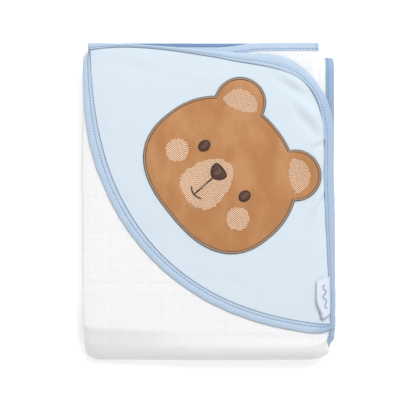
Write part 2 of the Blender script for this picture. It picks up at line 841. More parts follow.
def binding_material():
    """Bias tape, darker where it lies low between the plies and at the far right."""
    value = bpy.context.scene.towel_colours.binding

    def build(t, shader):
        place = object_place(t)
        base = mottled(t, place, rgba(value), rgba(value, 0.93), 0.012, 1.6)
        split = t.add("ShaderNodeSeparateXYZ", {0: place})
        low = ramp(t, split.outputs["Z"], 0.0305, 0.0285)
        far = ramp(t, split.outputs["Y"], 0.06 * UNIT, 0.09 * UNIT)
        beside = ramp(t, split.outputs["X"], 0.1 * UNIT, 0.12 * UNIT)
        between = t.math("SUBTRACT", 1.0, t.math("MULTIPLY", beside, 0.4))
        shade = t.math("MULTIPLY", t.math("MULTIPLY", low, far), between)
        shade = t.math("MAXIMUM", shade, t.math("MULTIPLY", beside, 0.32))
        base = t.mix(shade, base, (value[0] * 0.37, value[1] * 0.47, value[2] * 0.6, 1))
        yarns = woven(t, turned_by(t, cloth_place(t), math.radians(45)), 0.0009, 0.4)
        finish_cloth(t, shader, base, (yarns, 0.0002), 0.85, 0.1)

    return material("binding_tape", build)


def velour_material():
    colours = bpy.context.scene.towel_colours

    def build(t, shader):
        place = object_place(t)
        stretch = turned_by(t, place, 0.6, (1.0, 0.55, 1.0))
        nap = mottled(t, stretch, rgba(colours.velour), rgba(colours.velour_dark), 0.026, 5.0)
        speck = mottled(
            t, place, rgba(colours.velour, 1.06), rgba(colours.velour, 0.93), 0.0016, 2.0)
        finish_cloth(t, shader, t.mix(0.3, nap, speck), (noisy(t, place, 1400.0), 0.0005),
                     0.95, 0.35, 0.9)

    return material("velour_pile", build)


def thread_material(name, value, ends, gloss=0.5):
    """Thread whose stitches darken towards their ends."""

    def build(t, shader):
        along = t.add("ShaderNodeAttribute", attribute_name="along").outputs["Fac"]
        end = t.math("POWER", t.math("ABSOLUTE", along), 2.4)
        base = t.mix(end, rgba(value), rgba(ends))
        finish_cloth(t, shader, base, (noisy(t, object_place(t), 2500.0), 0.0001), gloss)

    return material(name, build)


def ribbon_material():
    value = bpy.context.scene.towel_colours.label

    def build(t, shader):
        place = object_place(t)
        base = mottled(t, place, rgba(value), rgba(value, 0.97), 0.01, 1.0)
        finish_cloth(t, shader, base, (woven(t, place, 0.0005, 0.1), 0.00008), 0.5)

    return material("label_weave", build)


# ---- stitches by geometry nodes ----


def stitch_tree(name, floats, **others):
    """A geometry tree that makes stitches, with its inputs and its output node."""
    inputs = {"Geometry": "Geometry", **dict.fromkeys(floats, "Float"), **others}
    inputs |= {"Seed": "Int", "Material": "Material"}
    return new_tree(name, "GeometryNodeTree", inputs, {"Geometry": "Geometry"})


def parts(t, vector):
    return t.add("ShaderNodeSeparateXYZ", {0: vector}).outputs


def own_place(t):
    return parts(t, t.add("GeometryNodeInputPosition").outputs[0])


def chance(t, given):
    """A value from 0 to 1 that differs from stitch to stitch."""
    node = t.add("FunctionNodeRandomValue", {"Seed": given["Seed"]}, data_type="FLOAT")
    return node.outputs["Value"]


def turned_flat(t, vector, angle):
    return t.add("ShaderNodeVectorRotate", {
        "Vector": vector, "Axis": (0, 0, 1), "Angle": angle,
    }).outputs[0]


def one_stitch(t):
    """A grain of thread one unit long, with its own length kept as an attribute."""
    ball = t.add("GeometryNodeMeshUVSphere", {"Segments": 6, "Rings": 5, "Radius": 0.5})
    return t.add("GeometryNodeStoreNamedAttribute", {
        "Geometry": ball.outputs["Mesh"], "Name": "along",
        "Value": t.math("MULTIPLY", own_place(t)["Z"], 2.0),
    }, data_type="FLOAT", domain="POINT").outputs["Geometry"]


def sewn(t, given, out, points, direction):
    """Puts stitches on points along direction, makes them real and gives them their thread."""
    turn = t.add("FunctionNodeAlignRotationToVector", {"Vector": direction}, axis="Z")
    spread = t.math("SUBTRACT", chance(t, given), 0.5)
    factor = t.math("MULTIPLY_ADD", spread, given["Unevenness"], 1.0)
    size = t.add("ShaderNodeCombineXYZ", {
        "X": given["Width"], "Y": given["Width"], "Z": t.math("MULTIPLY", given["Length"], factor),
    })
    many = t.add("GeometryNodeInstanceOnPoints", {
        "Points": points, "Instance": one_stitch(t), "Rotation": turn.outputs[0],
        "Scale": size.outputs[0],
    })
    real = t.add("GeometryNodeRealizeInstances", {"Geometry": many.outputs["Instances"]})
    soft = t.add("GeometryNodeSetShadeSmooth", {"Geometry": real.outputs["Geometry"]})
    done = t.add("GeometryNodeSetMaterial", {
        "Geometry": soft.outputs["Geometry"], "Material": given["Material"],
    })
    t.join(done.outputs["Geometry"], out, "Geometry")
    return t.tree


def stitch_line_tree():
    """Stitches along a path of edges, turned from the path by an angle."""
    t, given, out = stitch_tree(
        "Stitch line", ("Spacing", "Length", "Width", "Angle", "Unevenness"))
    path = t.add("GeometryNodeMeshToCurve", {"Mesh": given["Geometry"]})
    even = t.add("GeometryNodeResampleCurve", {
        "Curve": path.outputs["Curve"], "Length": given["Spacing"],
    }, mode="LENGTH")
    tangent = t.add("GeometryNodeInputTangent").outputs[0]
    direction = turned_flat(t, tangent, given["Angle"])
    return sewn(t, given, out, even.outputs["Curve"], direction)


def stitch_fill_tree():
    """Columns of stitches all over a patch, found by dropping a grid of points on it."""
    t, given, out = stitch_tree(
        "Stitch fill",
        ("Span", "Column", "Row", "Length", "Width", "Grain", "Angle", "Unevenness"),
        Middle="Vector",
    )
    column, row = given["Column"], given["Row"]
    size = {}
    for axis, gap in (("X", column), ("Y", row)):
        count = t.math("ADD", t.math("FLOOR", t.math("DIVIDE", given["Span"], gap)), 1.0)
        size["Vertices " + axis] = count
        size["Size " + axis] = t.math("MULTIPLY", t.math("SUBTRACT", count, 1.0), gap)
    grid = t.add("GeometryNodeMeshGrid", size)
    number = t.math("ROUND", t.math("DIVIDE", own_place(t)["X"], column))
    odd = t.math("ABSOLUTE", t.math("MODULO", number, 2.0))
    stagger = t.math("MULTIPLY", t.math("MULTIPLY", odd, 0.5), row)
    loose = t.math("MULTIPLY", t.math("MULTIPLY", chance(t, given), 0.12), row)
    shift = t.add("ShaderNodeCombineXYZ", {"Y": t.math("ADD", stagger, loose)})
    moved = t.add("GeometryNodeSetPosition", {
        "Geometry": grid.outputs["Mesh"], "Offset": shift.outputs[0],
    })
    turn = t.add("ShaderNodeCombineXYZ", {"Z": given["Grain"]})
    over = t.add("GeometryNodeTransform", {
        "Geometry": moved.outputs["Geometry"], "Translation": given["Middle"],
        "Rotation": turn.outputs[0],
    })
    drop = t.add("GeometryNodeRaycast", {
        "Target Geometry": given["Geometry"], "Ray Direction": (0, 0, -1), "Ray Length": 0.2,
    })
    missed = t.add("FunctionNodeBooleanMath", {0: drop.outputs["Is Hit"]}, operation="NOT")
    kept = t.add("GeometryNodeDeleteGeometry", {
        "Geometry": over.outputs["Geometry"], "Selection": missed.outputs[0],
    }, domain="POINT")
    down = t.add("GeometryNodeSetPosition", {
        "Geometry": kept.outputs["Geometry"], "Position": drop.outputs["Hit Position"],
    })
    heading = t.math("ADD", given["Grain"], given["Angle"])
    direction = turned_flat(t, (0, 1, 0), heading)
    return sewn(t, given, out, down.outputs["Geometry"], direction)


def grow(name, base, tree_name, build, values):
    """Runs a geometry tree on base and keeps the result as a plain mesh object."""
    tree = bpy.data.node_groups.get(tree_name) or build()
    modifier = base.modifiers.new("stitches", "NODES")
    modifier.node_group = tree
    for item in tree.interface.items_tree:
        if item.item_type == "SOCKET" and item.in_out == "INPUT" and item.name in values:
            modifier[item.identifier] = values[item.name]
    depsgraph = bpy.context.evaluated_depsgraph_get()
    mesh = bpy.data.meshes.new_from_object(base.evaluated_get(depsgraph))
    base.modifiers.clear()
    obj = bpy.data.objects.new(name, mesh)
    bpy.context.collection.objects.link(obj)
    if not mesh.vertices:
        raise RuntimeError(f"{name}: no stitches were made")
    return obj


def discard(obj):
    mesh = obj.data
    bpy.data.objects.remove(obj)
    bpy.data.meshes.remove(mesh)


def stitch_path(name, points, thread, spacing, run, width, angle=0.0, closed=False, seed=1,
                unevenness=0.3):
    """Stitches along points, which are in metres."""
    count = len(points)
    edges = [(i, i + 1) for i in range(count - 1)] + ([(count - 1, 0)] if closed else [])
    mesh = bpy.data.meshes.new(name + "_path")
    mesh.from_pydata([tuple(p) for p in points], edges, [])
    base = bpy.data.objects.new(name + "_path", mesh)
    bpy.context.collection.objects.link(base)
    obj = grow(name, base, "Stitch line", stitch_line_tree, {
        "Spacing": spacing, "Length": run, "Width": width, "Angle": angle,
        "Unevenness": unevenness, "Seed": seed, "Material": thread,
    })
    discard(base)
    return obj


def centre(outline):
    return sum(outline, Vector((0, 0))) / len(outline)


def disc(outline, rings, spot, ragged=lambda p: 1):
    """Points and faces of a disc inside an outline. spot places a point k of the way out."""
    middle = centre(outline)
    n = len(outline)
    verts = [spot(middle, 0)]
    for ring in range(1, rings + 1):
        k = ring / rings
        verts += [spot(middle.lerp(p, k * ragged(p)), k) for p in outline]
    faces = [(0, 1 + j, 1 + (j + 1) % n) for j in range(n)]
    for ring in range(rings - 1):
        faces += band(1 + ring * n, 1 + (ring + 1) * n, n)
    return verts, faces


def stitch_fill(name, outline, height, thread, run, width, angle, column, row, seed, ragged=0):
    """Stitches all over the area inside outline, whose points are in millimetres."""
    verts, faces = disc(
        outline, 8, lambda p, k: height(p.x, p.y),
        lambda p: 1 + ragged * ripple(p.x, p.y, 1.7, seed),
    )
    base = make_object(name + "_patch", verts, faces, None)
    obj = grow(name, base, "Stitch fill", stitch_fill_tree, {
        "Middle": verts[0] + raised(0.05), "Span": 0.075 * UNIT, "Column": column,
        "Row": row, "Length": run, "Width": width, "Grain": math.radians(-4), "Angle": angle,
        "Unevenness": 0.2, "Seed": seed, "Material": thread,
    })
    discard(base)
    return obj


# ---- pieces ----


def declare(obj, slot, body, *nodes):
    """Gives a piece its body, the nodes that it replaces and its slot.

    body is a name, or the function that bends the piece between two bodies.
    """
    if callable(body):
        body(obj)
    else:
        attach(obj, body)
    if nodes:
        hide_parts(*nodes)
    return obj


def fold_blend(obj):
    """Bends a piece round the bottom fold as the front section opens."""
    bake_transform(obj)


def lip_blend(obj):
    """Bends a piece along the hood lip's own line."""
    joint = next(j for j in frame["joints"] if j["child"] == "hood_lip")
    at = Vector(joint["pos_m"])
    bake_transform(obj)


def slope(s):
    """How much lower the middle ply's top edge lies, which grows towards the left."""
    x, h = across(s)
    return 4.6 * smooth((h - INNER_H) / PITCH) * smooth((55 - x) / 48)


def cloth_columns(step):
    turn = TURN_RUN / 8
    a = INNER_RUN + TURN_RUN
    return joined(
        steps(0, INNER_RUN, step), steps(INNER_RUN, a, turn),
        steps(a, a + MIDDLE_RUN, step), steps(a + MIDDLE_RUN, OUTER_START, turn),
        steps(OUTER_START, CLOTH_W - 24, step), steps(CLOTH_W - 24, CLOTH_W, 1.5),
    )


def top_columns(gap):
    """Columns under the hood's edge, which end gap short of the turn up to the outer ply."""
    return [s for s in cloth_columns(TAPE_STEP) if s <= OUTER_START - TURN_RUN - gap]


def strip_spot(fold, t, x_seam, x_edge, h, share, b):
    """A point on a tape that runs along the cloth's length."""
    y, z = fold(t, h + b)
    return settle(x_seam + (x_edge - x_seam) * share, y, z)


def cross_spot(fold, s, t_seam, t_edge, share, b):
    """A point on a tape that runs across the cloth, round its side turns."""
    x, h = across(s)
    ahead, behind = across(s + 0.05), across(s - 0.05)
    run = Vector((ahead[0] - behind[0], ahead[1] - behind[1])).normalized()
    y, z = fold(t_seam + (t_edge - t_seam) * share, h + b * run.x)
    return settle(x - b * run.y, y, z)


def cloth_skin(name, places, fold, thickness):
    """Folded cloth through rows of places, each the distance across and the distance down."""
    upper, lower = (
        [[cross_spot(fold, s, t, t, 0, b) for s, t in row] for row in places]
        for b in (thickness / 2, -thickness / 2)
    )
    flat = [[(s * MM, t * MM) for s, t in row] for row in places]
    return skin(name, upper, lower, towelling_material(), flat)


class TOWEL_OT_cloth(bpy.types.Operator):
    """Folds the towel's white cloth"""

    bl_idname = "towel.cloth"
    bl_label = "Folded cloth"

    def execute(self, context):
        sizes = context.scene.towel_sizes
        step = sizes.cloth_step / MM
        thick = sizes.cloth_thickness / MM
        margin = CLOTH_MARGIN
        edge = curve_points(HOOD_EDGE, 1.0)
        seam = curve_points(HOOD_SEAM, 1.0)
        inside = [nearest(seam, p).lerp(p, 0.7) for p in edge]
        columns = [min(max(s, margin), CLOTH_W - margin) for s in cloth_columns(step)]
        level = FRONT_RUN - 40

        def upper_row(s, share):
            x, h = across(s)
            top = HALF_L - margin - slope(s)
            if s > OUTER_START - TURN_RUN:
                top = min(top, edge_y(inside, x))
            return HALF_L - (top + (HALF_L - level - top) * share)

        places = [[(s, upper_row(s, k)) for s in columns] for k in steps(0, 1, step / level)]
        rest = joined(
            steps(level, FRONT_RUN, 2.2),
            steps(FRONT_RUN, FRONT_RUN + BOTTOM_RUN, BOTTOM_RUN / 26),
            steps(FRONT_RUN + BOTTOM_RUN, SEEN_RUN, step * 1.4),
        )
        places += [[(s, t) for s in columns] for t in rest[1:]]
        cloth = declare(
            cloth_skin("towel_cloth", places, front_and_back, thick), "towelling", fold_blend,
            "towel_front_section", "towel_back_section", "towel_bottom_turn",
        )
        lengths = joined(
            steps(0, TOP_RUN, TOP_RUN / 20),
            steps(TOP_RUN, HIDDEN_RUN - margin, step * 1.4),
        )
        places = [[(s, t) for s in columns] for t in lengths]
        inner = declare(
            cloth_skin("towel_cloth_tucked", places, tucked, thick), "towelling", "lower_fold",
            "towel_tucked_section", "towel_top_turn",
        )
        return {"FINISHED"}


def tape_width():
    return bpy.context.scene.towel_sizes.tape_width / MM


def edge_path():
    """The bound edge from the hood's top corner down the right side and under the towel.

    Each entry is the seam's place, the free edge's place, the tape's top over the middle of
    the ply, and the distance down the cloth once the tape has left the hood.
    """
    edge = curve_points(HOOD_EDGE, EDGE_STEP)
    seam = curve_points(HOOD_SEAM, FINE)
    over_hood = HOOD_TOP - CLOTH_TOP + PLY_CAD / 2
    plain = PLY_CAD / 2
    path = [(nearest(seam, p), p, over_hood, HALF_L - p.y) for p in edge]
    last_seam, last_edge = path[-1][0].x, path[-1][1].x
    start = HALF_L - edge[-1].y
    wide = tape_width()
    for t in steps(start, SEEN_RUN, EDGE_STEP)[1:]:
        down = smooth((t - start) / 16)
        grown = smooth((t - FRONT_RUN) / BOTTOM_RUN)
        inner = last_seam - 1.2 * down + (last_edge - wide - last_seam) * grown
        top = over_hood + (plain - over_hood) * down
        path.append((Vector((inner, 0)), Vector((last_edge, 0)), top, t))
    return path


def edge_place(seam, edge, share, b, t):
    """A point on the bound edge: share of the way from seam to edge, b over the ply."""
    x = seam.x + (edge.x - seam.x) * share
    h = INNER_H + 2 * PITCH + b
    if t <= HALF_L + 124 * UNIT:
        y, z = seam.y + (edge.y - seam.y) * share, CLOTH_TOP - STACK + h
    else:
        y, z = front_and_back(t, h)
    return settle(x, y, z)


def pucker(distance, seed):
    """Unevenness of a sewn tape along its length, about 1."""
    return 1 + 0.28 * ripple(distance, seed, 5.5, 21) + 0.2 * ripple(distance, seed, 14, 22)


def opening_ditch(k):
    """Where the topstitch of the hood's opening runs, k of the way along it."""
    return 0.3 + 0.1 * smooth(1 - abs(k - 0.35) / 0.3)


def tape_rings(count, section, place, spacing, seed, ditch=lambda i: DITCH):
    rings = []
    for i in range(count):
        w, top, bottom, rise = section(i)
        loop = tape_section(w, top, bottom, rise * pucker(i * spacing, seed), ditch(i))
        rings.append([place(i, a / w, b) for a, b in loop])
    return rings


def tucked_side(side):
    """Seam, edge and height of the tape on one side of the tucked section."""
    wide = tape_width()
    if side == "left":
        return INNER_X + wide, INNER_X, INNER_H
    return HALF_W - wide + 0.5, HALF_W + 0.5, INNER_H + 2 * PITCH


class TOWEL_OT_bindings(bpy.types.Operator):
    """Sews the bias binding round the towel's edges"""

    bl_idname = "towel.bindings"
    bl_label = "Edge bindings"

    def execute(self, context):
        sizes = context.scene.towel_sizes
        rise = sizes.tape_rise / MM
        half = sizes.cloth_thickness / MM / 2
        wide = tape_width()
        path = edge_path()

        def section(i):
            seam, edge, top, _ = path[i]
            w = max(2.5, (edge - seam).length)
            k = min(1, (top - half) / 1.5)
            return w, max(top, half) + 0.1, -half - 0.1, rise * (0.6 + 0.4 * k)

        def place(i, share, b):
            seam, edge, _, t = path[i]
            wave = 0.6 * ripple(i * EDGE_STEP, 3, 9, 23)
            return edge_place(seam, edge, share + wave / 10 * share, b, t)

        def tape(name, count, section, place, spacing, seed, body, *nodes):
            rings = tape_rings(count, section, place, spacing, seed)
            obj = sweep(name, rings, binding_material(), spacing=spacing)
            declare(obj, "binding", body, *nodes)

        tape("binding_edge", len(path), section, place, EDGE_STEP, 1, fold_blend,
             "binding_hood_edge", "binding_right_turn", "binding_right_lower")

        def plain(i):
            return wide, half + 0.2, -half - 0.2, 0.5 * rise

        def strip(name, lengths, fold, side, body, *nodes):
            x_seam, x_edge, h = tucked_side(side)

            def put(i, share, b):
                return strip_spot(fold, lengths[i], x_seam, x_edge, h, share, b)

            tape(name, len(lengths), plain, put, lengths[1] - lengths[0], x_edge, body, *nodes)

        strip("binding_left_edge", SEEN_STEPS, front_and_back, "left", fold_blend,
              "binding_left_upper", "binding_left_turn", "binding_left_lower")
        for side in ("left", "right"):
            strip(f"binding_{side}_tucked", HIDDEN_STEPS, tucked, side, "lower_fold")

        def cross(name, columns, fold, t_seam, t_edge, body, node):
            def put(i, share, b):
                at = columns[i]
                return cross_spot(fold, at, t_seam(at), t_edge(at), share, b)

            tape(name, len(columns), plain, put, TAPE_STEP, t_edge(0), body, node)

        cross("binding_top_tape", top_columns(3), front_and_back,
              lambda s: wide + slope(s), slope, "front_fold", "binding_top_edge")
        cross("binding_foot_tape", cloth_columns(TAPE_STEP), tucked, lambda s: HIDDEN_RUN - wide,
              lambda s: HIDDEN_RUN, "lower_fold", "binding_foot_edge")
        return {"FINISHED"}


def opening_path(spacing):
    edge = curve_points(OPENING_EDGE, spacing)
    seam = curve_points(OPENING_SEAM, FINE)
    return [(nearest(seam, p), p) for p in edge]


class TOWEL_OT_hood(bpy.types.Operator):
    """Makes the hood panel and the binding of its opening"""

    bl_idname = "towel.hood"
    bl_label = "Hood"

    def execute(self, context):
        sizes = context.scene.towel_sizes
        face = context.scene.towel_face
        step = sizes.hood_step / MM
        thick = sizes.hood_thickness / MM
        count = 190
        outer = curve_points(HOOD_EDGE, FINE)
        seam = curve_points(HOOD_SEAM, FINE)
        top_rim = [nearest(seam, p).lerp(p, 0.45) for p in respaced(outer, 2.0)]
        low_rim = [a.lerp(b, 0.45) for a, b in opening_path(2.0)]
        top_rim, low_rim = (
            respaced(rim, sum_length(rim) / count)[: count + 1] for rim in (top_rim, low_rim)
        )
        shares = steps(0, 1, step / 150)
        upper, lower, flat = [], [], []
        for a, b in zip(top_rim, low_rim):
            over, under, places = [], [], []
            for k in shares:
                p = a.lerp(b, k)
                puff = sizes.hood_puff / MM * min(1, 4.5 * k * (1 - k)) ** 0.7
                span = min(1, (b - a).length / 60)
                inward = min(k, 1 - k) * (b - a).length
                z = hood_height(p.x, p.y, face, sizes) + puff * span * 0.55
                z = HOOD_TOP + (z - HOOD_TOP) * loosened(inward)
                over.append(settle(p.x, p.y, z))
                under.append(settle(p.x, p.y, z - thick))
                places.append((p.x * MM, p.y * MM))
            upper.append(over)
            lower.append(under)
            flat.append(places)
        hood = skin("hood_cloth", upper, lower, hood_material(), flat)
        declare(hood, "hood_cotton", lip_blend, "hood_panel", "hood_panel_lip")
        pairs = opening_path(OPENING_STEP)
        middle = HOOD_TOP - thick / 2
        rise = sizes.tape_rise / MM

        def section(i):
            seam_at, edge_at = pairs[i]
            w = max(5.0, (edge_at - seam_at).length)
            return w, thick / 2, -thick / 2, rise

        def place(i, share, b):
            seam_at, edge_at = pairs[i]
            wave = 0.05 * ripple(i * OPENING_STEP, 2, 9, 24)
            p = seam_at.lerp(edge_at, share * (1 + wave))
            return settle(p.x, p.y, middle + b)

        rings = tape_rings(len(pairs), section, place, OPENING_STEP, 4,
                           lambda i: opening_ditch(i / len(pairs)))
        tape = sweep("binding_opening", rings, binding_material(), spacing=OPENING_STEP)
        declare(tape, "binding", lip_blend,
                "opening_binding_upper", "opening_binding_lower", "opening_binding_lip")
        return {"FINISHED"}


def sum_length(points):
    return sum((b - a).length for a, b in zip(points, points[1:]))


class TOWEL_OT_topstitch(bpy.types.Operator):
    """Sews the stitch rows along the bindings"""

    bl_idname = "towel.topstitch"
    bl_label = "Topstitching"

    def execute(self, context):
        scene = context.scene
        sizes, colours = scene.towel_sizes, scene.towel_colours
        thread = thread_material("topstitch_thread", colours.topstitch, colours.seam)
        dark = thread_material("seam_thread", colours.seam, colours.seam)
        rise = sizes.tape_rise / MM

        def sew(name, row, body, *nodes, seed=1):
            line = stitch_path(name, row, thread, sizes.stitch_spacing, sizes.stitch_length,
                               sizes.thread_width, seed=seed)
            declare(line, "thread", body, *nodes)

        path = edge_path()
        row = [edge_place(s, e, DITCH, top + 0.45 * rise, t) for s, e, top, t in path]
        sew("thread_edge", row, fold_blend, "thread_hood_edge")
        over = sizes.cloth_thickness / MM / 2 + 0.2 + 0.25 * rise
        wide = tape_width()

        def along(fold, side, lengths):
            return [strip_spot(fold, t, *tucked_side(side), DITCH, over) for t in lengths]

        def top_row(b):
            return [cross_spot(front_and_back, s, wide + slope(s), slope(s), DITCH, b)
                    for s in top_columns(9)]

        rows = {
            "thread_left_edge": (fold_blend, along(front_and_back, "left", SEEN_STEPS)),
            "thread_left_tucked": ("lower_fold", along(tucked, "left", HIDDEN_STEPS)),
            "thread_right_tucked": ("lower_fold", along(tucked, "right", HIDDEN_STEPS)),
            "thread_top_tape": ("front_fold", top_row(over)),
            "thread_top_under": ("front_fold", top_row(-over)),
            "thread_foot_tape": ("lower_fold", [
                cross_spot(tucked, s, HIDDEN_RUN - wide, HIDDEN_RUN, DITCH, over)
                for s in cloth_columns(TAPE_STEP)]),
        }
        for name, (body, row) in rows.items():
            sew(name, row, body, seed=2)

        def beside(s, e, gap, over):
            """A point on the hood, gap inside the seam s of the tape whose free edge is e."""
            p = s + (s - e).normalized() * gap
            free = loosened(0.45 * (e - s).length + gap)
            z = HOOD_TOP + free * (hood_relief(p.x, p.y) + 0.25)
            return settle(p.x, p.y, z + over)

        def seam_row(name, row, width, body, seed=1):
            line = stitch_path(name, row, dark, SEAM_SPACING, SEAM_STITCH, width * MM, seed=seed)
            declare(line, "thread", body)

        row = [beside(s, e, 0.5, 0.12) for s, e, _, t in path if t < HALF_L + 120 * UNIT]
        seam_row("seam_edge", row, 0.6, "front_fold")
        pairs = opening_path(2.0)
        row = []
        for i, (s, e) in enumerate(pairs):
            p = s.lerp(e, opening_ditch(i / len(pairs)))
            row.append(settle(p.x, p.y, HOOD_TOP + 0.5 * rise))
        sew("thread_opening", row, lip_blend,
            "thread_opening_upper", "thread_opening_lower", "thread_opening_lip", seed=3)
        row = [beside(s, e, 0.6, 0.15) for s, e in pairs]
        seam_row("seam_opening", row, 0.7, lip_blend, 4)
        return {"FINISHED"}


def face_height(sizes, towel, extra=0.0):
    """A function that gives a point on the velour from its place on the bundle."""

    def height(x, y):
        z = hood_height(x, y, sizes, towel) + towel.hood_puff / MM * 0.55
        return settle(x, y, z + 0.75 + extra)

    return height


class TOWEL_OT_face(bpy.types.Operator):
    """Appliques the bear's head in velour with its satin border"""

    bl_idname = "towel.face"
    bl_label = "Velour face"

    def execute(self, context):
        scene = context.scene
        sizes, towel, colours = scene.towel_face, scene.towel_sizes, scene.towel_colours
        border = sizes.border_width / MM
        angles = head_angles(sizes, border * 0.5)
        n = len(angles)
        surface = face_height(sizes, towel)
        spots = [(angles[0], 0)]
        spots += [(a, ring / FACE_RINGS) for ring in range(1, FACE_RINGS + 1) for a in angles]
        verts, uvs = [], []
        for a, k in spots:
            x, y = rim_point(a, border * 0.45, sizes, k)
            rim = smooth((k - 0.93) / 0.07)
            verts.append(surface(x, y) - raised(0.5 * rim * MM))
            uvs.append((x * MM, y * MM))
        faces = [(0, 1 + j, 1 + (j + 1) % n) for j in range(n)]
        for ring in range(FACE_RINGS - 1):
            faces += band(1 + ring * n, 1 + (ring + 1) * n, n)
        below = [p - raised(0.7 * MM) for p in verts]
        count = len(verts)
        last = count - n
        faces += [tuple(count + i for i in reversed(f)) for f in faces]
        faces += band(last, count + last, n)
        velour = make_object("bear_head", verts + below, faces, velour_material(), uvs + uvs)
        declare(outward(velour), "velour", "front_fold", "bear_velour", "embroidery_backing")
        path, loops = [], []
        top = face_height(sizes, towel, 0.15)
        angles = head_angles(sizes, border / 2, BORDER_COUNT)
        for a in angles:
            ring = []
            for k in range(9):
                turn = math.pi * k / 8
                p = top(*rim_point(a, border * (0.5 - 0.46 * math.cos(turn)), sizes))
                p.z += (0.75 * math.sin(turn) - 0.95) * MM
                ring.append(p)
            loops.append(ring)
            path.append(top(*rim_point(a, border / 2, sizes)) - raised(0.12 * MM))
        thread = thread_material("border_thread", colours.border, colours.border_dark, 0.45)
        ring = sweep("bear_border_padding", loops, thread, closed=True)
        declare(ring, "satin_border", "front_fold", "bear_border")
        satin = stitch_path(
            "bear_border_satin", path, thread, sizes.border_spacing, sizes.border_width,
            0.62 * MM, angle=math.radians(84), closed=True, seed=sizes.seed, unevenness=0.16,
        )
        declare(satin, "satin_border", "front_fold")
        ends = thread_material("border_ends", colours.border_dark, colours.border_dark, 0.6)
        for name, inset in (("bear_border_outer", 0.1), ("bear_border_inner", border - 0.15)):
            row = [top(*rim_point(a, inset, sizes)) - raised(0.5 * MM) for a in angles]
            line = stitch_path(name, row, ends, 0.8 * MM, 1.0 * MM, 0.65 * MM, closed=True,
                               angle=math.radians(40), seed=sizes.seed + 1)
            declare(line, "satin_border", "front_fold")
        return {"FINISHED"}


def oval(mid, w, up, down, power_up=2.0, power_down=2.0, count=40):
    """Outline of a round-cornered oval in the face's frame, placed on the bundle."""
    points = []
    for i in range(count):
        a = 2 * math.pi * i / count
        c, s = math.cos(a), math.sin(a)
        power, h = (power_up, up) if s >= 0 else (power_down, down)
        u = mid[0] + w * math.copysign(abs(c) ** (2 / power), c)
        v = mid[1] + h * math.copysign(abs(s) ** (2 / power), s)
        points.append(Vector(face_point(u, v)))
    return points


def lens(ear):
    """Outline of an inner ear: round outside, bulging a little towards the head."""
    eu, ev = EAR_PATCHES[ear]
    lean = math.radians(32 if ear == 0 else -32)
    points = []
    for i in range(64):
        a = 2 * math.pi * i / 64
        c, s = math.cos(a), math.sin(a)
        reach = 99.0
        for low, r in ((-6.3, 18.2), (24.0, 33.4)):
            reach = min(reach, low * s + math.sqrt(r * r - (low * c) ** 2))
        u, v = reach * c, 4 + reach * s
        points.append(Vector(face_point(
            eu + u * math.cos(lean) - v * math.sin(lean),
            ev + u * math.sin(lean) + v * math.cos(lean),
        )))
    return points


def pad(name, outline, height, rise, thread):
    """A low dome of padding stitches inside an outline."""
    verts, faces = disc(
        outline, 6, lambda p, k: height(p.x, p.y) + raised(rise * (1 - k**4)))
    n = len(outline)
    last = len(verts)
    verts += [height(p.x, p.y) - raised(0.4 * MM) for p in outline]
    faces += band(last - n, last, n)
    faces.append(tuple(range(last, last + n)))
    return outward(make_object(name, verts, faces, thread))


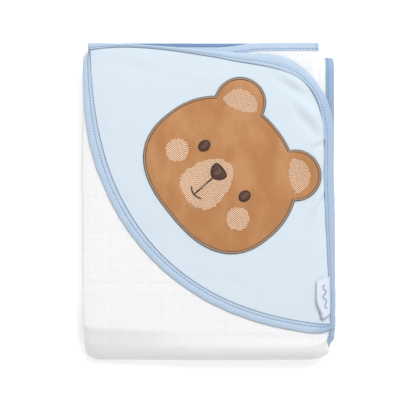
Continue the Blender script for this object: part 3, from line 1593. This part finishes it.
class TOWEL_OT_embroidery(bpy.types.Operator):
    """Embroiders the ears, cheeks, muzzle, eyes, nose and mouth"""

    bl_idname = "towel.embroidery"
    bl_label = "Embroidery"

    def execute(self, context):
        scene = context.scene
        sizes, towel, colours = scene.towel_face, scene.towel_sizes, scene.towel_colours
        brown = rgba(colours.velour_dark, 0.8)[:3]
        pale = thread_material("fill_thread", colours.fill, brown, 0.5)
        dark = thread_material("dark_thread", colours.dark, rgba(colours.dark, 0.6)[:3], 0.42)
        light = thread_material("sheen_thread", rgba(colours.dark, 2.6)[:3], colours.dark, 0.42)
        deep = thread_material("outline_thread", colours.outline, colours.outline, 0.5)
        surface = face_height(sizes, towel)
        shaded = thread_material("ear_thread", rgba(colours.fill, 0.9)[:3], brown, 0.5)
        patches = {
            "muzzle_patch": oval((-1.5, -34.5), 22.8, 39, 17, 1.9, 2.15, 72),
            "cheek_left": oval((-45.4, -28), 11.5, 11.5, 11.5),
            "cheek_right": oval((45.4, -24), 11.5, 11.5, 11.5),
            "ear_patch_left": lens(0),
            "ear_patch_right": lens(1),
        }
        for number, (name, outline) in enumerate(patches.items()):
            patch = stitch_fill(
                name + "_stitches", outline, surface, shaded if "ear" in name else pale,
                sizes.fill_length, sizes.fill_width,
                math.radians(-26), sizes.fill_column, sizes.fill_row, sizes.seed + number, 0.05,
            )
            declare(patch, "fill_stitch", "front_fold", name)
        over = face_height(sizes, towel, 0.25)
        spots = {
            "eye_left": ((-32.2, -4.5), 5.1, 6.4, 6.4, 2, 2, 32),
            "eye_right": ((32.2, -4.5), 5.1, 6.4, 6.4, 2, 2, 32),
            "nose": ((-2.9, -8.6), 9, 4.6, 9.6, 3, 1.7, 44),
        }
        for number, (name, (at, w, up, down, *powers)) in enumerate(spots.items()):
            outline = oval(at, w, up, down, *powers)
            dome = pad(name + "_padding", outline, over, PADDING, dark)
            declare(dome, "dark_stitch", "front_fold", name)
            middle = centre(outline)
            far = max((p - middle).length for p in outline)

            def domed(x, y, middle=middle, far=far):
                k = (Vector((x, y)) - middle).length / far
                return over(x, y) + raised(0.75 * MM * (1 - k**4))

            core = oval(at, 0.24 * w, 0.62 * up, 0.6 * down)
            for part, inside, thread in (
                ("_threads", [middle.lerp(p, 0.86) for p in outline], dark),
                ("_sheen", core, light),
            ):
                threads = stitch_fill(
                    name + part, inside, domed, thread, 1.9 * MM, 0.5 * MM, math.radians(40),
                    0.5 * MM, 1.9 * MM, sizes.seed + 20 + number,
                )
                declare(threads, "dark_stitch", "front_fold")
            rim = [middle.lerp(p, 0.95) for p in outline]
            rim = [domed(p.x, p.y) + raised(0.1 * MM) for p in rim]
            line = stitch_path(
                name + "_outline", rim, deep, 0.9 * MM, 1.8 * MM, 1.0 * MM, closed=True,
                seed=sizes.seed + 30 + number, unevenness=0.1,
            )
            declare(line, "dark_stitch", "front_fold")
        top = face_height(sizes, towel, 0.6)
        down = [(-1.9 + 1.2 * k, -18 - 24.5 * k) for k in steps(0, 1, 0.05)]
        smile = []
        for a in steps(-40, 40, 4):
            turn = math.radians(a - 90)
            smile.append((-0.7 + 11 * math.cos(turn), -31.8 + 11 * math.sin(turn)))
        for name, line, nodes in (("mouth_line", down, ["mouth"]), ("mouth_smile", smile, [])):
            row = [top(*face_point(u, v)) for u, v in line]
            thread = stitch_path(name, row, deep, 1.3 * MM, 2.1 * MM, 1.35 * MM, seed=5,
                                 unevenness=0.1)
            declare(thread, "dark_stitch", "front_fold", *nodes)
        return {"FINISHED"}


class TOWEL_OT_label(bpy.types.Operator):
    """Sews the folded ribbon label into the right seam"""

    bl_idname = "towel.label"
    bl_label = "Side label"

    def execute(self, context):
        colours = context.scene.towel_colours
        seam_x = LABEL_HIGH.x - LABEL_SEWN
        low, high = LABEL_LOW.y, LABEL_HIGH.y
        reach = LABEL_HIGH.x - LABEL_LOW.x
        base = LABEL_LOW.z - 0.1

        def point(p, q):
            """p runs out from the seam, round the fold and back under; q runs up the label."""
            width = reach * (0.4 + 0.46 * smooth(q * 1.9))
            out = 1 - abs(1 - 2 * p)
            curl = out**1.3 * (3.6 * math.sin(math.pi * min(1, 0.25 + 0.75 * q)) + 0.6)
            gap = 1.3 * math.sin(math.pi * p) ** 0.6 * (1 if p < 0.5 else -0.15)
            x = seam_x - width * out - (3.5 * (1 - q) ** 2 * out if p > 0.5 else 0)
            y = low + LABEL_RISE + (high - low - LABEL_RISE) * q - LABEL_SLANT * out
            return settle(x, y, base + curl * (1 if p < 0.5 else 0.55) + gap + (1 - p) * 0.5)

        grid = [[point(p, q) for p in steps(0, 1, 0.04)] for q in steps(0, 1, 0.04)]
        flat = [[(p * 0.03, q * 0.04) for p in steps(0, 1, 0.04)] for q in steps(0, 1, 0.04)]
        ribbon = shell("label_loop", grid, RIBBON, ribbon_material(), flat)
        declare(ribbon, "label_ribbon", "label", "side_label")
        wave = []
        for k in steps(0, 1, 0.02):
            q = 0.2 + 0.62 * k
            wave.append(point(0.2 + 0.055 * math.sin(k * 5 * math.pi), q)
                        + raised(0.28 * MM))
        thread = thread_material("mark_thread", colours.mark, colours.mark)
        mark = stitch_path("label_mark", wave, thread, 0.7 * MM, 1.0 * MM, 0.8 * MM,
                           unevenness=0.1)
        declare(mark, "label_print", "label", "label_motif")
        return {"FINISHED"}


class TOWEL_OT_stage(bpy.types.Operator):
    """Sets the floor, the studio light and the camera"""

    bl_idname = "towel.stage"
    bl_label = "Stage"

    def execute(self, context):
        scene = context.scene
        colours = scene.towel_colours

        def build(t, shader):
            for name, value in (
                ("Base Color", rgba(colours.floor)), ("Roughness", 1.0),
                ("Specular IOR Level", 0.0), ("Emission Color", (1, 1, 1, 1)),
                ("Emission Strength", FLOOR_GLOW),
            ):
                shader.inputs[name].default_value = value

        corners = [(FLOOR_HALF * x, FLOOR_HALF * y, 0)
                   for x, y in ((-1, -1), (1, -1), (1, 1), (-1, 1))]
        make_object("floor", corners, [(0, 1, 2, 3)], material("plain_floor", build))
        scene.world = bpy.data.worlds.new("studio")
        scene.world.use_nodes = True
        background = scene.world.node_tree.nodes["Background"]
        background.inputs["Color"].default_value = (1, 1, 1, 1)
        background.inputs["Strength"].default_value = WORLD_STRENGTH
        scene.view_settings.view_transform = "Standard"

        def put(name, data, place, turn):
            obj = bpy.data.objects.new(name, data)
            obj.location = place
            obj.rotation_euler = turn
            scene.collection.objects.link(obj)
            return obj

        for name, (place, power, span) in LIGHTS.items():
            data = bpy.data.lights.new(name, "AREA")
            data.energy = power
            data.size = span
            put(name, data, place, (-Vector(place)).to_track_quat("-Z", "Y").to_euler())
        data = bpy.data.cameras.new("camera")
        data.sensor_width = SENSOR
        data.lens = SENSOR * VIEW_FAR / VIEW_WIDTH
        back = VIEW_FAR * Vector((0, -math.cos(VIEW_TILT), math.sin(VIEW_TILT)))
        scene.camera = put("camera", data, VIEW_AT + back, (math.radians(90) - VIEW_TILT, 0, 0))
        return {"FINISHED"}


class TOWEL_PT_panel(bpy.types.Panel):
    """Sizes, colours and pieces of the towel"""

    bl_idname = "TOWEL_PT_panel"
    bl_label = "Hooded towel"
    bl_space_type = "VIEW_3D"
    bl_region_type = "UI"
    bl_category = "Towel"

    def draw(self, context):
        layout = self.layout
        for group in ("towel_sizes", "towel_face", "towel_colours"):
            owner = getattr(context.scene, group)
            box = layout.box()
            for key in owner.bl_rna.properties.keys():
                if key not in ("rna_type", "name"):
                    box.prop(owner, key)
        for operator in OPERATORS:
            layout.operator(operator.bl_idname)


GROUPS = {"towel_sizes": TowelSizes, "towel_face": FaceSizes, "towel_colours": TowelColours}
OPERATORS = (
    TOWEL_OT_stage, TOWEL_OT_bindings, TOWEL_OT_cloth, TOWEL_OT_hood, TOWEL_OT_topstitch,
    TOWEL_OT_face, TOWEL_OT_embroidery, TOWEL_OT_label,
)


def register():
    for name, group in GROUPS.items():
        bpy.utils.register_class(group)
        setattr(bpy.types.Scene, name, PointerProperty(type=group))
    for operator in OPERATORS:
        bpy.utils.register_class(operator)
    bpy.utils.register_class(TOWEL_PT_panel)


def unregister():
    bpy.utils.unregister_class(TOWEL_PT_panel)
    for operator in reversed(OPERATORS):
        bpy.utils.unregister_class(operator)
    for name, group in GROUPS.items():
        delattr(bpy.types.Scene, name)
        bpy.utils.unregister_class(group)


def main():
    register()
    for step in ("stage", "bindings", "cloth", "hood", "topstitch", "face", "embroidery",
                 "label"):
        getattr(bpy.ops.towel, step)()


if __name__ == "__main__":
    main()
